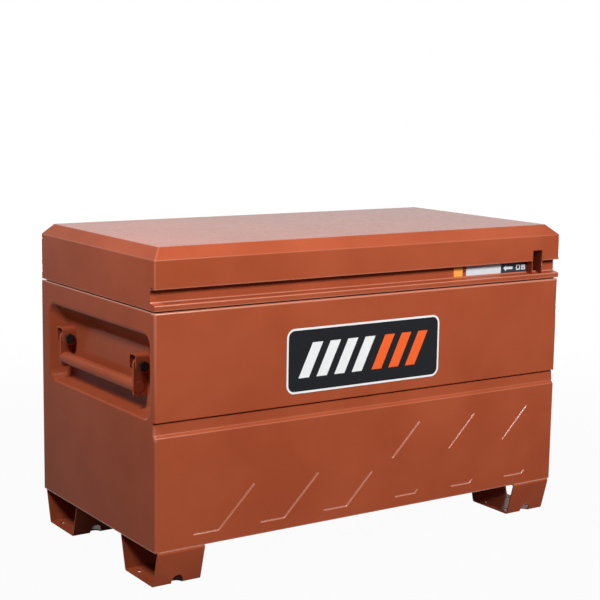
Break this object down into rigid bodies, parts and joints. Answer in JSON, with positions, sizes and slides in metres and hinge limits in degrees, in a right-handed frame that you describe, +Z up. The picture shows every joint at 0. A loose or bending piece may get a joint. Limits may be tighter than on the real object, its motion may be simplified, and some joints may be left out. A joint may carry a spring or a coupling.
{
  "type": "jobsite storage box",
  "caption": "Steel jobsite storage box: bevelled hinged lid with finger channel, latch bar and gas springs, recessed drop handles in the ends, and bent-sheet feet for casters or forks.",
  "frame": {"origin": "on the ground under the middle of the box", "axes": "+X right along the front, +Y to the back, +Z up"},
  "size_m": [1.2192, 0.622, 0.785],
  "materials": {
    "body_paint": "rust-red powder coat, satin",
    "dark_steel": "black oxide",
    "plain_steel": "zinc plated",
    "seal_rubber": "matt",
    "plate_print": null,
    "tag_print": "printed vinyl",
    "pale_print": "printed vinyl",
    "arrow_print": null
  },
  "bodies": {
    "box_body": {"front_panel": "body_paint", "rear_panel": "body_paint", "floor_panel": "body_paint", "left_side_panel": "body_paint", "right_side_panel": "body_paint", "left_handle_pocket": "body_paint", "right_handle_pocket": "body_paint", "left_front_foot": "body_paint", "right_front_foot": "body_paint", "left_rear_foot": "body_paint", "right_rear_foot": "body_paint", "left_front_handle_bracket": "body_paint", "right_front_handle_bracket": "body_paint", "left_rear_handle_bracket": "body_paint", "right_rear_handle_bracket": "body_paint", "left_front_handle_bolt": "dark_steel", "right_front_handle_bolt": "dark_steel", "left_rear_handle_bolt": "dark_steel", "right_rear_handle_bolt": "dark_steel", "left_spring_body_bracket": "body_paint", "right_spring_body_bracket": "body_paint", "left_spring_stud": "plain_steel", "right_spring_stud": "plain_steel", "left_latch_keeper": "plain_steel", "right_latch_keeper": "plain_steel", "hinge_body_leaf": "plain_steel", "hinge_pin": "plain_steel", "rim_seal": "seal_rubber", "front_plate": "plate_print"},
    "lid": {"lid_cover": "body_paint", "lid_front_rail": "body_paint", "hinge_lid_leaf": "plain_steel", "lock_housing": "body_paint", "left_lid_stiffener": "body_paint", "right_lid_stiffener": "body_paint", "left_spring_lid_bracket": "body_paint", "right_spring_lid_bracket": "body_paint", "left_latch_guide": "plain_steel", "centre_latch_guide": "plain_steel", "right_latch_guide": "plain_steel", "channel_tag": "tag_print", "channel_pale_label": "pale_print", "channel_arrow_label": "arrow_print"},
    "latch_slide": {"latch_bar": "dark_steel", "left_latch_hook": "dark_steel", "right_latch_hook": "dark_steel"},
    "left_handle": {"left_handle_front_arm": "body_paint", "left_handle_rear_arm": "body_paint", "left_handle_grip": "body_paint"},
    "right_handle": {"right_handle_front_arm": "body_paint", "right_handle_rear_arm": "body_paint", "right_handle_grip": "body_paint"},
    "left_spring_cylinder": {"left_gas_spring_tube": "dark_steel"},
    "right_spring_cylinder": {"right_gas_spring_tube": "dark_steel"},
    "left_spring_piston": {"left_gas_spring_rod": "plain_steel"},
    "right_spring_piston": {"right_gas_spring_rod": "plain_steel"}
  },
  "joints": [
    {"name": "lid_hinge", "type": "hinge", "parent": "box_body", "child": "lid", "pos_m": [0, 0.3055, 0.64325], "axis": [-1, 0, 0], "range_deg": [0, 85]},
    {"name": "latch_slide_travel", "type": "slide", "parent": "lid", "child": "latch_slide", "axis": [1, 0, 0], "range_m": [0, 0.018]},
    {"name": "left_handle_hinge", "type": "hinge", "parent": "box_body", "child": "left_handle", "pos_m": [-0.5896, 0, 0.505], "axis": [0, 1, 0], "range_deg": [0, 100]},
    {"name": "right_handle_hinge", "type": "hinge", "parent": "box_body", "child": "right_handle", "pos_m": [0.5896, 0, 0.505], "axis": [0, -1, 0], "range_deg": [0, 100]},
    {"name": "left_spring_foot_hinge", "type": "hinge", "parent": "box_body", "child": "left_spring_cylinder", "pos_m": [-0.552, 0.255, 0.59], "axis": [-1, 0, 0], "range_deg": [0, 74.85]},
    {"name": "left_spring_rod_slide", "type": "slide", "parent": "left_spring_cylinder", "child": "left_spring_piston", "axis": [0, -0.8552, 0.5183], "range_m": [0, 0.0902]},
    {"name": "right_spring_foot_hinge", "type": "hinge", "parent": "box_body", "child": "right_spring_cylinder", "pos_m": [0.552, 0.255, 0.59], "axis": [-1, 0, 0], "range_deg": [0, 74.85]},
    {"name": "right_spring_rod_slide", "type": "slide", "parent": "right_spring_cylinder", "child": "right_spring_piston", "axis": [0, -0.8552, 0.5183], "range_m": [0, 0.0902]}
  ],
  "couplings": [
    {"joint": "left_spring_foot_hinge", "follows": "lid_hinge", "ratio": 0.88046},
    {"joint": "left_spring_rod_slide", "follows": "lid_hinge", "m_per_rad": 0.06074},
    {"joint": "right_spring_foot_hinge", "follows": "lid_hinge", "ratio": 0.88046},
    {"joint": "right_spring_rod_slide", "follows": "lid_hinge", "m_per_rad": 0.06074}
  ]
}
